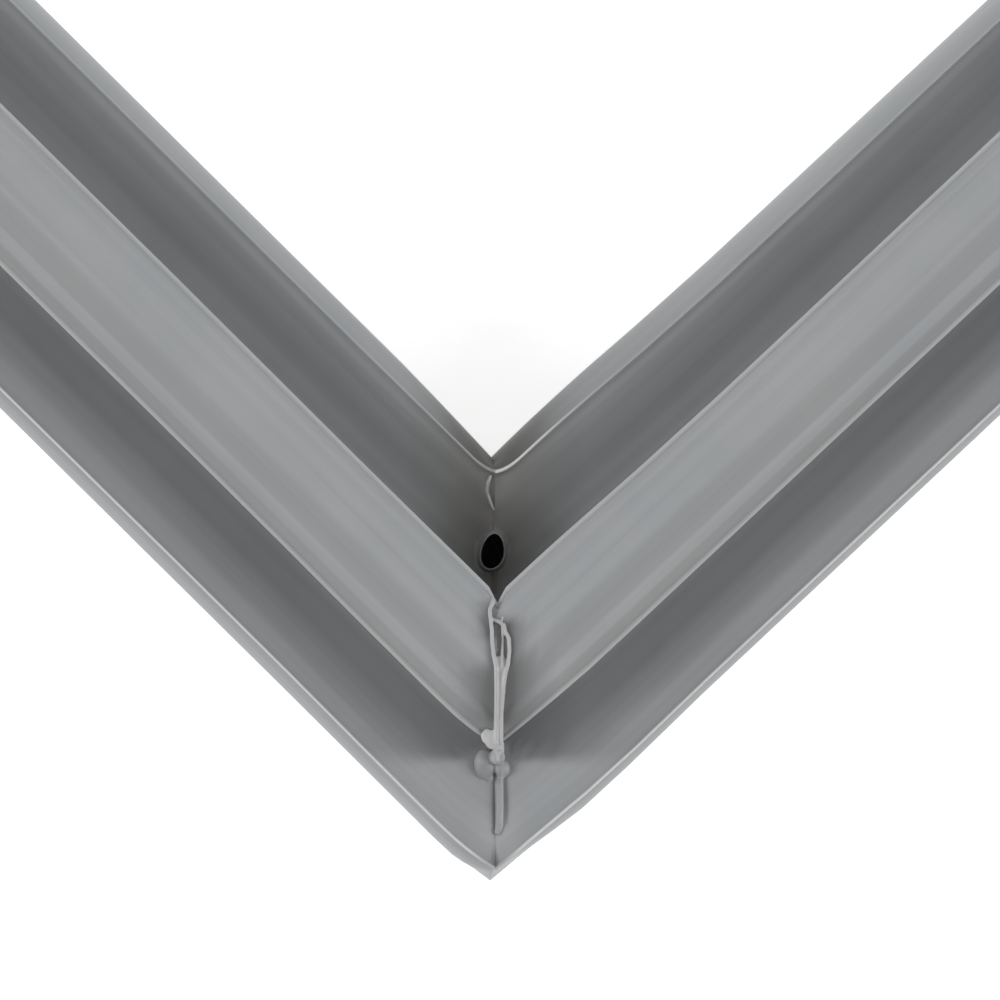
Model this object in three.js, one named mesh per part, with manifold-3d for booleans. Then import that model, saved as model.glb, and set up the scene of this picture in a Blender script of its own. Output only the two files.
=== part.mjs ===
// A push-in magnetic refrigerator door gasket, lying on its sealing face with its dart side up.
//
// One hollow PVC profile is mitred and heat welded into a rectangle. Seen in section, from the
// cabinet to the door, it has a flat sealing face with a magnet pocket behind it, a soft bulb, a
// base plate whose two thin edges curl up as wings, and a barbed dart on a stem. Four magnetic
// strips lie in the pocket, each stopping short of the welds.
//
// Millimetres, +Z up. The origin is the middle of the rectangle, in the plane of the sealing face.
import * as THREE from "three";
import { mergeVertices } from "three/addons/utils/BufferGeometryUtils.js";
import Module from "manifold-3d";

const wasm = await Module();
wasm.setup();

// The rectangle, over the bulb's sides
const FRAME_WIDTH = 520;
const FRAME_LENGTH = 600;

// The bulb and its sealing face
const BULB_WIDTH = 30.2;
const BULB_WALL = 0.7;
const BULGE_HEIGHT = 8.3;
const SEAL_WIDTH = 23.2;
const SEAL_WALL = 0.8;

// The base plate, and the neck that joins it to the bulb's sides
const BASE_HEIGHT = 13.9;
const BASE_THICKNESS = 1.4;
const NECK_WIDTH = 21.2;
const NECK_WALL = 1.2;

// The wings, which curl up from the base plate
const WING_SPAN = 27.4;
const WING_RISE = 3.4;
const WING_TIP = 0.6;
const WING_CURL = 1.1;
const TROUGH_WIDTH = 8.8;

// The dart: a stem, two barbs, and a crown with a shallow step down each side
const STEM_WIDTH = 3;
const STEM_FILLET = 0.8;
const DART_HEIGHT = 8;
const DART_WIDTH = 10.8;
const NOSE_WIDTH = 1.2;
const BARB_DROP = 1.2;
const BARB_EDGE = 0.6;
const BARB_RIM = 0.55;
const SHOULDER_WIDTH = 1.1;
const SHOULDER_RISE = 0.62;
const STEP_WIDTH = 1;
const STEP_DROP = 0.08;

// The magnets and their pocket
const MAGNET_WIDTH = 9.6;
const MAGNET_THICKNESS = 2.5;
const MAGNET_CLEARANCE = 0.3;
const MAGNET_END_GAP = 4;
const POCKET_WALL = 0.6;

// On each mitre, the air vent through the inner wing and the pocket's bleed into the bulb
const VENT_LENGTH = 3.3;
const VENT_WIDTH = 2.1;
const VENT_OFFSET = 8.3;
const VENT_RIM = 0.4;
const VENT_COLLAR = 1;
const BLEED_WIDTH = 3;

// The weld flash on each mitre: a bead over the dart, a blob at its edge and a tail on the wing
const FLASH_HEIGHT = 0.4;
const FLASH_WIDTH = 1.4;
const FLASH_ROUND = 0.3;
const BLOB_LENGTH = 4.2;
const BLOB_WIDTH = 3.4;
const BLOB_HEIGHT = 2.4;
const TAIL_LENGTH = 5.4;
const TAIL_RISE = 2.2;

const CURVE_STEPS = 10;
const CROWN_STEPS = 4;
const OVAL_STEPS = 10;

// Heights, widths and distances that follow from those above
const crestHeight = BASE_HEIGHT + WING_RISE;
const noseHeight = BASE_HEIGHT + DART_HEIGHT;
const rimHeight = noseHeight - BARB_DROP;
const ceilingHeight = BASE_HEIGHT - BASE_THICKNESS;
const pocketWidth = MAGNET_WIDTH + 2 * MAGNET_CLEARANCE;
const pocketTop = SEAL_WALL + MAGNET_THICKNESS + 2 * MAGNET_CLEARANCE;
const pocketRoof = pocketTop + POCKET_WALL;
const middleX = (FRAME_WIDTH - BULB_WIDTH) / 2;
const middleY = (FRAME_LENGTH - BULB_WIDTH) / 2;

// Along the mitre the profile is cut at 45 degrees and is this much longer
const MITRE = Math.SQRT2;

const PVC = new THREE.MeshStandardMaterial({ color: 0x9a9c9e, roughness: 0.55, metalness: 0 });
const FERRITE = new THREE.MeshStandardMaterial({ color: 0x2b2724, roughness: 0.8, metalness: 0.1 });

// Solids for joining and cutting

function solidOf(geometry) {
  const bare = geometry.clone();
  bare.deleteAttribute("normal");
  bare.deleteAttribute("uv");
  const merged = mergeVertices(bare, 1e-4);
  return new wasm.Manifold(
    new wasm.Mesh({
      numProp: 3,
      vertProperties: new Float32Array(merged.attributes.position.array),
      triVerts: new Uint32Array(merged.index.array),
    }),
  );
}

function geometryOf(solid) {
  const mesh = solid.getMesh();
  const geometry = new THREE.BufferGeometry();
  geometry.setAttribute("position", new THREE.BufferAttribute(mesh.vertProperties, 3));
  geometry.setIndex(new THREE.BufferAttribute(mesh.triVerts, 1));
  geometry.computeVertexNormals();
  return geometry;
}

// The profile in section. Its x is the distance from the profile's middle, outwards from the
// rectangle, and its y is the height. A half outline runs up the right side and is then mirrored.

function mirrored(half) {
  const left = half
    .filter((point) => point.x > 1e-6)
    .reverse()
    .map((point) => new THREE.Vector2(-point.x, point.y));
  return [...half, ...left];
}

// The bulb's side, from the edge of the sealing face over its widest point to the neck
function addBulbSide(path, side, foot, neck) {
  const lower = BULGE_HEIGHT - foot.y;
  const upper = neck.y - BULGE_HEIGHT;
  path.bezierCurveTo(
    foot.x + (side - foot.x) * 0.55, foot.y,
    side, foot.y + lower * 0.36,
    side, BULGE_HEIGHT,
  );
  path.bezierCurveTo(
    side, BULGE_HEIGHT + upper * 0.62,
    neck.x + (side - neck.x) * 0.6, neck.y - upper * 0.16,
    neck.x, neck.y,
  );
}

// The wing, from the neck round its thin tip and down into the trough beside the stem
function addWing(path) {
  const tip = WING_TIP / 2;
  const tipHeight = crestHeight - tip;
  const outside = WING_SPAN / 2;
  const inside = outside - WING_TIP;
  const neck = NECK_WIDTH / 2;
  path.bezierCurveTo(
    neck + (outside - neck) * 0.35, BASE_HEIGHT + (tipHeight - BASE_HEIGHT) * 0.1,
    outside - (outside - neck) * 0.12, BASE_HEIGHT + (tipHeight - BASE_HEIGHT) * 0.5,
    outside, tipHeight,
  );
  path.absarc(outside - tip, tipHeight, tip, 0, Math.PI, false);
  const curlX = inside - WING_CURL;
  const curlY = tipHeight - WING_CURL;
  path.quadraticCurveTo(inside - WING_CURL * 0.1, curlY + WING_CURL * 0.3, curlX, curlY);
  const trough = TROUGH_WIDTH / 2;
  path.bezierCurveTo(
    curlX - (curlX - trough) * 0.3, curlY - (curlY - BASE_HEIGHT) * 0.45,
    trough + (curlX - trough) * 0.4, BASE_HEIGHT,
    trough, BASE_HEIGHT,
  );
}

// The stem, from the trough up to the outer end of the barb's underside
function addStem(path) {
  const stem = STEM_WIDTH / 2;
  const under = rimHeight - BARB_EDGE;
  path.lineTo(stem + STEM_FILLET, BASE_HEIGHT);
  path.quadraticCurveTo(stem, BASE_HEIGHT, stem, BASE_HEIGHT + STEM_FILLET);
  path.lineTo(stem, under - STEM_FILLET);
  path.quadraticCurveTo(stem, under, stem + STEM_FILLET, under);
  path.lineTo(DART_WIDTH / 2 - BARB_RIM * 0.4, under);
}

// The crown, from the barb's rim up to the shoulder, across the step and up a flat side that
// runs smoothly into the rounded nose
function crownHalf() {
  const rim = DART_WIDTH / 2;
  const shoulder = rim - BARB_RIM - SHOULDER_WIDTH;
  const shoulderHeight = rimHeight + SHOULDER_RISE;
  const step = shoulder - STEP_WIDTH;
  const stepHeight = shoulderHeight - STEP_DROP;
  const crown = new THREE.Path();
  crown.moveTo(rim, rimHeight);
  crown.lineTo(rim - BARB_RIM, rimHeight + BARB_RIM * 0.2);
  crown.quadraticCurveTo(
    shoulder + SHOULDER_WIDTH * 0.5, shoulderHeight,
    shoulder, shoulderHeight,
  );
  crown.lineTo(step, stepHeight);
  const nose = NOSE_WIDTH / 2;
  const noseFall = ((noseHeight - stepHeight) * nose) / (2 * step - nose);
  crown.lineTo(nose, noseHeight - noseFall);
  crown.quadraticCurveTo(nose / 2, noseHeight, 0, noseHeight);
  return crown.getPoints(CROWN_STEPS);
}

function outerOutline() {
  const foot = new THREE.Vector2(SEAL_WIDTH / 2, 0);
  const neck = new THREE.Vector2(NECK_WIDTH / 2, BASE_HEIGHT);
  const half = new THREE.Path();
  half.moveTo(0, 0);
  half.lineTo(foot.x, foot.y);
  addBulbSide(half, BULB_WIDTH / 2, foot, neck);
  addWing(half);
  addStem(half);
  return mirrored([...half.getPoints(CURVE_STEPS), ...crownHalf()]);
}

// The bulb's air space, which reaches down both sides of the magnet pocket
function chamberOutline() {
  const wall = pocketWidth / 2 + POCKET_WALL;
  const foot = new THREE.Vector2(SEAL_WIDTH / 2 - BULB_WALL / 2, SEAL_WALL);
  const neck = new THREE.Vector2(NECK_WIDTH / 2 - NECK_WALL, BASE_HEIGHT - BULB_WALL);
  const half = new THREE.Path();
  half.moveTo(wall, SEAL_WALL);
  half.lineTo(foot.x, foot.y);
  addBulbSide(half, BULB_WIDTH / 2 - BULB_WALL, foot, neck);
  half.quadraticCurveTo(neck.x * 0.5, ceilingHeight, 0, ceilingHeight);
  const roof = [new THREE.Vector2(-wall, pocketRoof), new THREE.Vector2(wall, pocketRoof)];
  return [...roof, ...mirrored(half.getPoints(CURVE_STEPS))];
}

function pocketOutline() {
  const wall = pocketWidth / 2;
  return [
    new THREE.Vector2(-wall, SEAL_WALL),
    new THREE.Vector2(wall, SEAL_WALL),
    new THREE.Vector2(wall, pocketTop),
    new THREE.Vector2(-wall, pocketTop),
  ];
}

// A section swept round the rectangle. A lathe of four flat sides mitres the corners, and moving
// its sides apart along Y turns the square into the rectangle and leaves the section as it was.
function mitredRing(outline) {
  const points = [...outline, outline[0]].map(
    (point) => new THREE.Vector2((middleX + point.x) * MITRE, point.y),
  );
  const ring = new THREE.LatheGeometry(points, 4, Math.PI / 4);
  ring.rotateX(Math.PI / 2);
  const places = ring.attributes.position;
  for (let i = 0; i < places.count; i += 1) {
    const y = places.getY(i);
    places.setY(i, y + Math.sign(y) * (middleY - middleX));
  }
  return solidOf(ring);
}

// Details on the mitres. Each is built with x along the mitre and outwards, its origin under the
// middle of the profile, and is then copied to the four corners.
function atCorners(geometry) {
  const copies = [0, 1, 2, 3].map((quarter) => {
    const angle = Math.PI / 4 + (quarter * Math.PI) / 2;
    const copy = geometry.clone().rotateZ(angle);
    copy.translate(Math.sign(Math.cos(angle)) * middleX, Math.sign(Math.sin(angle)) * middleY, 0);
    return solidOf(copy);
  });
  return copies.reduce((all, copy) => all.add(copy));
}

// An upright oval prism, centred at a distance along the mitre
function oval(distance, length, width, bottom, top) {
  const shape = new THREE.Shape().absellipse(0, 0, length / 2, width / 2, 0, 2 * Math.PI);
  const prism = new THREE.ExtrudeGeometry(shape, {
    depth: top - bottom,
    bevelEnabled: false,
    curveSegments: OVAL_STEPS,
  });
  return prism.translate(distance, 0, bottom);
}

// An upright wall of flash, drawn in the plane of the mitre and rounded over its edges
function flashWall(points) {
  const wall = new THREE.ExtrudeGeometry(new THREE.Shape(points), {
    depth: FLASH_WIDTH - 2 * FLASH_ROUND,
    bevelThickness: FLASH_ROUND,
    bevelSize: FLASH_ROUND,
    bevelSegments: 2,
  });
  wall.translate(0, 0, FLASH_ROUND - FLASH_WIDTH / 2);
  return wall.rotateX(Math.PI / 2);
}

function dartBead() {
  const crown = mirrored(crownHalf()).map(
    (point) => new THREE.Vector2(point.x * MITRE, point.y - BARB_EDGE / 2),
  );
  const raised = crown.map(
    (point) => new THREE.Vector2(point.x, point.y + BARB_EDGE / 2 + FLASH_HEIGHT),
  );
  return flashWall([...crown, ...raised.reverse()]);
}

function blob() {
  const ball = new THREE.SphereGeometry(0.5, 12, 8);
  ball.scale(BLOB_LENGTH, BLOB_WIDTH, BLOB_HEIGHT);
  return ball.translate((DART_WIDTH / 2) * MITRE + BLOB_LENGTH / 3, 0, rimHeight - BARB_EDGE);
}

function wingTail() {
  const start = (DART_WIDTH / 2) * MITRE + BLOB_LENGTH * 0.8;
  const bottom = BASE_HEIGHT - BASE_THICKNESS * 0.2;
  const rise = TAIL_RISE + BASE_THICKNESS * 0.2;
  return flashWall([
    new THREE.Vector2(start, bottom),
    new THREE.Vector2(start + TAIL_LENGTH, bottom + rise * 0.5),
    new THREE.Vector2(start + TAIL_LENGTH, bottom + rise),
    new THREE.Vector2(start + TAIL_LENGTH * 0.2, bottom + rise * 0.9),
  ]);
}

// The collar round the vent, and the passages through it and through the pocket's roof
function ventCollar() {
  return oval(
    -VENT_OFFSET * MITRE,
    VENT_LENGTH + 2 * VENT_RIM,
    VENT_WIDTH + 2 * VENT_RIM,
    BASE_HEIGHT - BASE_THICKNESS * 0.4,
    BASE_HEIGHT + VENT_COLLAR,
  );
}

function ventHole() {
  return oval(-VENT_OFFSET * MITRE, VENT_LENGTH, VENT_WIDTH, BULGE_HEIGHT, crestHeight + WING_RISE);
}

function bleedHole() {
  const bottom = SEAL_WALL + (pocketTop - SEAL_WALL) * 0.5;
  const top = pocketRoof + (ceilingHeight - pocketRoof) * 0.3;
  return oval(0, BLEED_WIDTH, BLEED_WIDTH, bottom, top);
}

// The finished pieces

const part = new THREE.Group();

function add(name, geometry, material) {
  const mesh = new THREE.Mesh(geometry, material);
  mesh.name = name;
  part.add(mesh);
  return mesh;
}

const welded = mitredRing(outerOutline())
  .add(atCorners(dartBead()))
  .add(atCorners(blob()))
  .add(atCorners(wingTail()))
  .add(atCorners(ventCollar()));
const hollow = welded
  .subtract(mitredRing(chamberOutline()))
  .subtract(mitredRing(pocketOutline()))
  .subtract(atCorners(bleedHole()))
  .subtract(atCorners(ventHole()));
add("gasket_profile", geometryOf(hollow), PVC);

// One magnetic strip lies along each side of the rectangle, clear of the welds
function addMagnet(name, x, y, run) {
  const length = 2 * (run - pocketWidth / 2 - MAGNET_END_GAP);
  const strip = new THREE.BoxGeometry(length, MAGNET_WIDTH, MAGNET_THICKNESS);
  const mesh = add(name, strip, FERRITE);
  mesh.rotation.z = x === 0 ? 0 : Math.PI / 2;
  mesh.position.set(x, y, SEAL_WALL + MAGNET_CLEARANCE + MAGNET_THICKNESS / 2);
}

addMagnet("magnet_strip_left", -middleX, 0, middleY);
addMagnet("magnet_strip_right", middleX, 0, middleY);
addMagnet("magnet_strip_bottom", 0, -middleY, middleX);
addMagnet("magnet_strip_top", 0, middleY, middleX);

export default part;
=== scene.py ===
# %% [markdown]
# # A push-in magnetic refrigerator door gasket
# One soft PVC profile is extruded, cut into four lengths, and heat welded at the corners into a
# ring. It lies on its sealing face with its dart, the barbed rib that goes into the door, on top.
# This lesson sweeps the profile round the ring, works the corners over as the hot weld left them,
# and gives the plastic its faint extrusion lines.

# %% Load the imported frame
import math

import bmesh
import bpy
from mathutils import Matrix, Vector, kdtree, noise


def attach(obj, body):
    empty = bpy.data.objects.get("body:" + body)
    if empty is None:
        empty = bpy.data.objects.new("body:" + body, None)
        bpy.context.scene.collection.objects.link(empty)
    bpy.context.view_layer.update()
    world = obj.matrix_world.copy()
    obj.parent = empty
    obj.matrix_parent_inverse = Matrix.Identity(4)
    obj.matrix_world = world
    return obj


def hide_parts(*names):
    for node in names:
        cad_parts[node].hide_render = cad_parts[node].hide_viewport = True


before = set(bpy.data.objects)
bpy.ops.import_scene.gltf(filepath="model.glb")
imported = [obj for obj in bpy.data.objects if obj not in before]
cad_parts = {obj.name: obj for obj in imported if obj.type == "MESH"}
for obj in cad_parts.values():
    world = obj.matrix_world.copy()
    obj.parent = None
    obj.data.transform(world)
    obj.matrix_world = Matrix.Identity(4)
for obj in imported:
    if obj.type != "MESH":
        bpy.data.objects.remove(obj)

for spare in ("Cube", "Light", "Camera"):
    if spare in bpy.data.objects:
        bpy.data.objects.remove(bpy.data.objects[spare])
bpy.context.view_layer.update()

# %% [markdown]
# ## Sizes
# Lengths are written in millimetres, as on the drawing, and scaled once to metres. The profile's
# middle line runs round the ring at these distances from the origin.

# %% Sizes of the ring and of the profile
MM = 0.001
RING_WIDTH = 520
RING_LENGTH = 600
BULB_WIDTH = 30.2
MIDDLE_X = (RING_WIDTH - BULB_WIDTH) / 2
MIDDLE_Y = (RING_LENGTH - BULB_WIDTH) / 2

SEAL_WIDTH = 23.2
BULGE_HEIGHT = 8.3
BASE_HEIGHT = 13.9
NECK_WIDTH = 21.2
WING_SPAN = 27.4
CREST_HEIGHT = 17.3
TIP_RADIUS = 0.12
STEM_WIDTH = 3
DART_WIDTH = 10.8
BARB_UNDER = 20.1
RIM_HEIGHT = 20.7
NOSE_HEIGHT = 21.9
print("profile middle at", MIDDLE_X, "and", MIDDLE_Y, "mm")

# %% [markdown]
# ## The profile in section
# A real gasket starts as a steel die with this outline. Each run of the outline is a straight
# line or a Bezier curve with a few handles, so the wings and the bulb stay smooth. Only the
# right half is drawn, and the left half is its mirror image.

# %% Draw the outline of the profile
def curve(handles, steps):
    """Points along the Bezier curve of these handles, without the first one."""
    found = []
    for i in range(1, steps + 1):
        row = [Vector(handle) for handle in handles]
        while len(row) > 1:
            row = [a.lerp(b, i / steps) for a, b in zip(row, row[1:])]
        found.append(row[0])
    return found


def arc(centre, radius, steps):
    """Points over the top of a circle from its right side to its left, without the first one."""
    angles = [math.pi * i / steps for i in range(1, steps + 1)]
    return [Vector(centre) + radius * Vector((math.cos(t), math.sin(t))) for t in angles]


def mirrored(half):
    """The right half of an outline, followed by its mirror image on the left."""
    left = [Vector((-p.x, p.y)) for p in reversed(half) if p.x > 1e-6]
    return half + left


def bulb_half():
    """The sealing face, then the side of the bulb up to its neck under the wing."""
    foot = SEAL_WIDTH / 2
    side = BULB_WIDTH / 2
    neck = NECK_WIDTH / 2
    return (
        [Vector((0, 0))]
        + curve([(0, 0), (foot, 0)], 3)
        + curve([(foot, 0), (13.5, 0), (side, 3), (side, BULGE_HEIGHT)], 8)
        + curve([(side, BULGE_HEIGHT), (side, 11.8), (13.3, 13), (neck, BASE_HEIGHT)], 12)
    )


def wing_half():
    """The wing, out to its rounded tip and back down into the trough beside the stem."""
    out = WING_SPAN / 2
    tip = CREST_HEIGHT - TIP_RADIUS
    neck = NECK_WIDTH / 2
    back = out - 2 * TIP_RADIUS
    crease = (12.95, 16.4)
    return (
        curve([(neck, BASE_HEIGHT), (12, 14.1), (13.5, 15.2), (out, tip)], 10)
        + arc((out - TIP_RADIUS, tip), TIP_RADIUS, 8)
        + curve([(back, tip), (back - 0.02, 16.55), crease], 6)
        + curve([crease, (10.3, 15.3), (7.4, BASE_HEIGHT), (4.4, BASE_HEIGHT)], 36)
    )


def dart_half():
    """The stem, the underside of the barb, its thin rim and the stepped crown up to the nose."""
    stem = STEM_WIDTH / 2
    rim = DART_WIDTH / 2
    return (
        curve([(4.4, BASE_HEIGHT), (2.3, BASE_HEIGHT)], 5)
        + curve([(2.3, BASE_HEIGHT), (stem, BASE_HEIGHT), (stem, 14.7)], 4)
        + curve([(stem, 14.7), (stem, 19.3)], 4)
        + curve([(stem, 19.3), (stem, BARB_UNDER), (2.3, BARB_UNDER)], 4)
        + curve([(2.3, BARB_UNDER), (rim - 0.2, BARB_UNDER)], 8)
        + curve([(rim - 0.2, BARB_UNDER), (rim + 0.05, 20.4), (rim, RIM_HEIGHT)], 3)
        + curve([(rim, RIM_HEIGHT), (rim - 0.2, 20.86), (4.85, 20.81)], 4)
        + curve([(4.85, 20.81), (4.3, 21.32), (3.75, 21.32)], 7)
        + curve([(3.75, 21.32), (3.3, 21.3), (2.75, 21.24)], 5)
        + curve([(2.75, 21.24), (0.6, 21.79)], 11)
        + curve([(0.6, 21.79), (0.3, NOSE_HEIGHT), (0, NOSE_HEIGHT)], 4)
    )


outline = mirrored(bulb_half() + wing_half() + dart_half())
print("outline points", len(outline))

# %% [markdown]
# ## Air chamber and magnet pocket
# The bulb is hollow, and the magnets lie in a pocket on the sealing face. Both are swept with
# the profile as inner skins, so the model has the real wall thickness.

# %% Draw the outlines of the chamber and the pocket
SEAL_WALL = 0.8
POCKET_HALF = 5.1
POCKET_TOP = 3.9
POCKET_WALL = 0.6
CEILING = 12.5


def chamber_outline():
    """The air chamber, inside the wall of the bulb and round the wall of the pocket."""
    wall = POCKET_HALF + POCKET_WALL
    roof = POCKET_TOP + POCKET_WALL
    side = BULB_WIDTH / 2 - 0.7
    half = (
        [Vector((wall, SEAL_WALL))]
        + curve([(wall, SEAL_WALL), (11.2, SEAL_WALL)], 1)
        + curve([(11.2, SEAL_WALL), (13, SEAL_WALL), (side, 3.5), (side, BULGE_HEIGHT)], 4)
        + curve([(side, BULGE_HEIGHT), (side, 11.4), (12.4, 12.4), (9.4, 13.1)], 5)
        + curve([(9.4, 13.1), (4.7, CEILING), (0, CEILING)], 14)
    )
    return [Vector((-wall, roof)), Vector((wall, roof))] + mirrored(half)


def pocket_outline():
    """The rectangle that a magnetic strip lies in."""
    corners = [(-1, SEAL_WALL), (1, SEAL_WALL), (1, POCKET_TOP), (-1, POCKET_TOP)]
    return [Vector((side * POCKET_HALF, height)) for side, height in corners]


print("chamber points", len(chamber_outline()))

# %% [markdown]
# ## Sweeping a corner
# The outline is set up in the plane of the mitre, where the 45 degree cut makes it longer by the
# root of two. Its edge loop is then extruded along both sides of the ring, in short steps near
# the weld, where the form changes, and in long ones away from it. One corner out to the middle
# of its two sides is enough, because the ring mirrors onto itself.

# %% Sweep a quarter of the ring
ALONG_LEFT = Vector((0, 1, 0))
ALONG_BOTTOM = Vector((1, 0, 0))
NEAR_STEP = 0.16
NEAR_STEPS = 10
STEP_GROWTH = 1.58
LONGEST_STEP = 36


def stations(length):
    """Distances from the mitre: even near it, then growing, then even again."""
    found = [NEAR_STEP * (i + 1) for i in range(NEAR_STEPS)]
    step = NEAR_STEP
    while found[-1] + 1.6 * step < length:
        step = min(step * STEP_GROWTH, LONGEST_STEP)
        found.append(found[-1] + step)
    return found


def mitre_point(point):
    """The place of a point of the outline in the plane of the mitre."""
    return Vector((-MIDDLE_X - point.x, -MIDDLE_Y - point.x, point.y))


def sweep_quarter(bm, section):
    """Extrudes a closed outline both ways from the mitre, to the middle of each side."""
    ring = [bm.verts.new(mitre_point(point)) for point in section]
    start = [bm.edges.new(pair) for pair in zip(ring, ring[1:] + ring[:1])]
    for along, reach in ((ALONG_LEFT, MIDDLE_Y), (ALONG_BOTTOM, MIDDLE_X)):
        loop = start
        last = 0
        for station in stations(reach - BULB_WIDTH) + [None]:
            made = bmesh.ops.extrude_edge_only(bm, edges=loop)["geom"]
            verts = {item for item in made if isinstance(item, bmesh.types.BMVert)}
            loop = [
                item
                for item in made
                if isinstance(item, bmesh.types.BMEdge) and set(item.verts) <= verts
            ]
            if station is None:
                across = 1 if along is ALONG_LEFT else 0
                for vert in verts:
                    vert.co[across] = 0
            else:
                bmesh.ops.translate(bm, verts=list(verts), vec=along * (station - last))
                last = station


print("steps along each side", len(stations(MIDDLE_X - BULB_WIDTH)))

# %% [markdown]
# ## Places on the profile
# Everything that follows asks where a point lies: how far across the profile it is, how far from
# the mitre, and on which side. At the weld itself the handy directions are along the mitre,
# outwards, and across it.

# %% Tell where a point lies
ROOT2 = math.sqrt(2)


def place_of(co):
    """(across the profile, distance from the mitre, True on the long side) of a quarter's point."""
    px = co.x + MIDDLE_X
    py = co.y + MIDDLE_Y
    return -min(px, py), abs(px - py), py > px


def mitre_place(co):
    """(along the mitre and outwards, across it) of a point near the corner."""
    px = co.x + MIDDLE_X
    py = co.y + MIDDLE_Y
    return -(px + py) / ROOT2, (px - py) / ROOT2


def from_mitre(along, across, height):
    """The point at a place along the mitre, across it and above the sealing face."""
    px = (-along + across) / ROOT2
    py = (-along - across) / ROOT2
    return Vector((px - MIDDLE_X, py - MIDDLE_Y, height))


def ramp(value, low, high):
    """0 below low, 1 above high, and smooth between them."""
    t = min(max((value - low) / (high - low), 0), 1)
    return t * t * (3 - 2 * t)


def fade(away, reach, power=1):
    """1 at no distance, and 0 from this reach on."""
    return (1 - min(away / reach, 1)) ** power


tip = place_of(from_mitre(5, 0, 0))
print("a point 5 mm out along the mitre lies", round(tip[0], 2), "mm across the profile")

# %% [markdown]
# ## What the weld did
# A hot plate melts both ends and they are pushed together. The soft profile gives way: the outer
# edges shrink in towards the corner, the crest of the inner wing pulls into a small round, the
# dart sinks beside its bead, and a fine line runs along the seam, raised on the inner wing and
# cut in on the outer one. The side that was clamped a little askew also leaves the corner at
# slightly more than a right angle. Each effect has a depth, and the pairs of numbers are the
# heights, or the distances across the profile or from the mitre, between which it comes or goes.

# %% Name what the weld did
BULB_PINCH = 1.6
WING_PINCH = 0.68
DART_PINCH = 1.05
BULB_TO_WING = (12, 16)
WING_TO_DART = (17.5, 19.5)
OUTER_HALF = (2, 7)
PINCH_FOOT = (2, 9)
LONG_PINCH_REACH = 7
SHORT_PINCH_REACH = 14
SHORT_PINCH_POWER = 1.4
CREST_PULL = 0.6
CREST_PULL_REACH = 3
CREST_START = (10.2, 13.2)
CREST_END = (13.9, 14.6)
INNER_PUSH = 0.45
INNER_PUSH_START = (11, 14)
INNER_PUSH_TOP = (13, 14.5)
LONG_SPLAY = math.tan(math.radians(0.3))
SHORT_SPLAY = math.tan(math.radians(2))
SPLAY_SQUARE = (0, 30)
SPLAY_REACH = 70
SPLAY_END = 215
SWAY = 0.16
SWAY_AWAY = 34
SWAY_ACROSS = 40
LIFT = 0.06
LIFT_AWAY = 11
LIFT_ACROSS = 12
RIPPLE_FOOT = (9, 17)
RIPPLE_START = (0, 8)
RIPPLE_END = (150, 220)
INNER_CREST_BACK = 0.55
SHORT_SHIFT = 0.22
SHORT_LIP_SHIFT = 0.16
SHORT_SHIFT_START = (3, 20)
WING_START = (15, 16.8)
WING_END = (18, 19)
WING_EDGE = (10, 13.3)
SHIFT_CORNER = (0, 6)
BELOW_DART = (18, 19.5)
DART_BACK = (3, 5)
DART_FACE = (19.5, 20)
DART_HEAD = (19.6, 20.4)
GROOVE_DEPTH = 0.36
GROOVE_REACH = 2.8
TIP_NOTCH = 0.75
TIP_NOTCH_REACH = 1.1
TIP_NOTCH_START = (4.2, 5.4)
SEAM_HEIGHT = 0.1
SEAM_CUT = 0.16
SEAM_REACH = 0.34
SEAM_BOTTOM = (13.8, 13.95)
SEAM_TOP = (17.2, 17.4)
print("the outer edge is drawn in by", round(BULB_PINCH * ROOT2, 2), "mm along the mitre")

# %% Shape the corner as the weld left it
def pinch(across, away, height, long_side):
    """How far a point near the weld is drawn towards the inside of the ring, along the mitre."""
    wide = fade(away, SHORT_PINCH_REACH, SHORT_PINCH_POWER)
    near = fade(away, LONG_PINCH_REACH, 2) if long_side else wide
    depth = BULB_PINCH + (WING_PINCH - BULB_PINCH) * ramp(height, *BULB_TO_WING)
    depth += (DART_PINCH - WING_PINCH) * ramp(height, *WING_TO_DART)
    outer = depth * ramp(across, *OUTER_HALF) * near
    crest = CREST_PULL * ramp(-across, *CREST_START) * (1 - ramp(-across, *CREST_END))
    crest *= fade(away, CREST_PULL_REACH, 2)
    push = INNER_PUSH * ramp(-across, *INNER_PUSH_START) * (1 - ramp(height, *INNER_PUSH_TOP))
    return ROOT2 * (outer + crest - push * wide)


def splay(across, away, long_side):
    """How far a side leans out of square at a distance from the mitre."""
    lean = LONG_SPLAY if long_side else SHORT_SPLAY
    run = away - across * ramp(away, *SPLAY_SQUARE)
    return lean * run * (1 - ramp(away, SPLAY_REACH, SPLAY_END))


def ripple(across, away, height, long_side):
    """The soft profile is never quite straight: a slow wave that dies at the middle of a side."""
    seed = 3.1 if long_side else 7.7
    wave = noise.noise(Vector((away / SWAY_AWAY, across / SWAY_ACROSS, seed)))
    lift = noise.noise(Vector((away / LIFT_AWAY, across / LIFT_ACROSS, seed + 5)))
    free = ramp(height, *RIPPLE_FOOT) * ramp(away, *RIPPLE_START) * (1 - ramp(away, *RIPPLE_END))
    return SWAY * wave * free, LIFT * lift * free


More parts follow.
